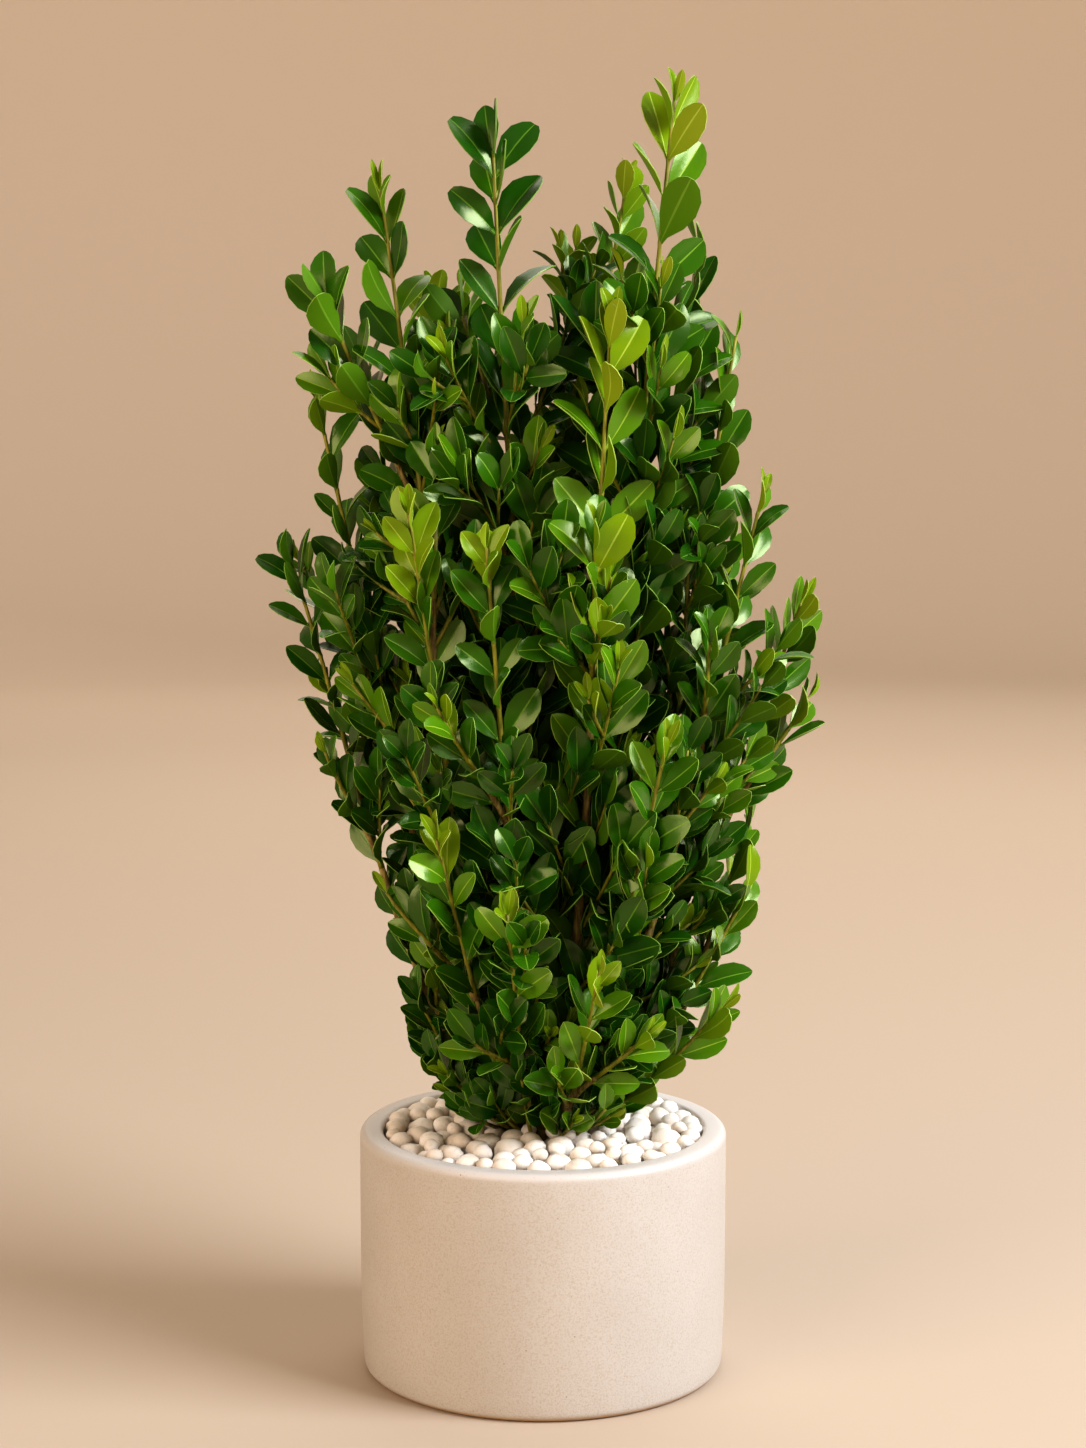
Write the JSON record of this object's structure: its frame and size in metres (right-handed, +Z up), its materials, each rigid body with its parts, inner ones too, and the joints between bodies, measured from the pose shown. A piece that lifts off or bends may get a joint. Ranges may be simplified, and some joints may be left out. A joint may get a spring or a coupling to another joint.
{
  "type": "potted boxwood shrub",
  "caption": "Upright evergreen shrub with opposite oval leaves on slender stems, growing from a pebble-topped round pot.",
  "frame": {"origin": "middle of the pot's flat underside, on the surface it stands on", "axes": "+Z up along the stems, +X to the right and -Y towards the viewer of the front"},
  "size_m": [0.2132, 0.1649, 0.4894],
  "materials": {
    "pot": "unglazed fine stoneware in a warm cream with small brown specks, satin matt",
    "soil": "dark crumbly potting mix",
    "pebbles": "tumbled white-cream pebbles, smooth and matt",
    "bark": "thin olive-brown bark with fine ridges, greener near the tips",
    "foliage": "leathery oval leaves, glossy dark green above with a pale midrib, yellow-green when young"
  },
  "bodies": {
    "root": {"pot": "pot", "potting_soil": "soil", "pebble_layer": "pebbles", "stem_foot": "bark", "bough_tall_right": "bark", "bough_tall_centre": "bark", "bough_upper_left": "bark", "bough_back_right_tall": "bark", "bough_back_centre": "bark", "bough_back_left": "bark", "bough_front_right": "bark", "bough_right_upper": "bark", "bough_left_outer": "bark", "bough_right_mid": "bark", "bough_front_left": "bark", "bough_front_centre": "bark", "bough_far_left": "bark", "bough_back_upper": "bark", "bough_left_inner": "bark", "bough_right_outer": "bark", "bough_back_right": "bark", "bough_back_mid": "bark", "foliage_tall_right": "foliage", "foliage_tall_centre": "foliage", "foliage_upper_left": "foliage", "foliage_back_right_tall": "foliage", "foliage_back_centre": "foliage", "foliage_back_left": "foliage", "foliage_front_right": "foliage", "foliage_right_upper": "foliage", "foliage_left_outer": "foliage", "foliage_right_mid": "foliage", "foliage_front_left": "foliage", "foliage_front_centre": "foliage", "foliage_far_left": "foliage", "foliage_back_upper": "foliage", "foliage_left_inner": "foliage", "foliage_right_outer": "foliage", "foliage_back_right": "foliage", "foliage_back_mid": "foliage", "foliage_front_right_low": "foliage", "foliage_front_low_left": "foliage", "foliage_back_low_left": "foliage", "foliage_back_low_right": "foliage", "foliage_right_low": "foliage", "foliage_low_front_left": "foliage", "foliage_low_front": "foliage", "foliage_left_bottom": "foliage", "foliage_right_bottom": "foliage", "foliage_back_bottom": "foliage"}
  },
  "joints": []
}
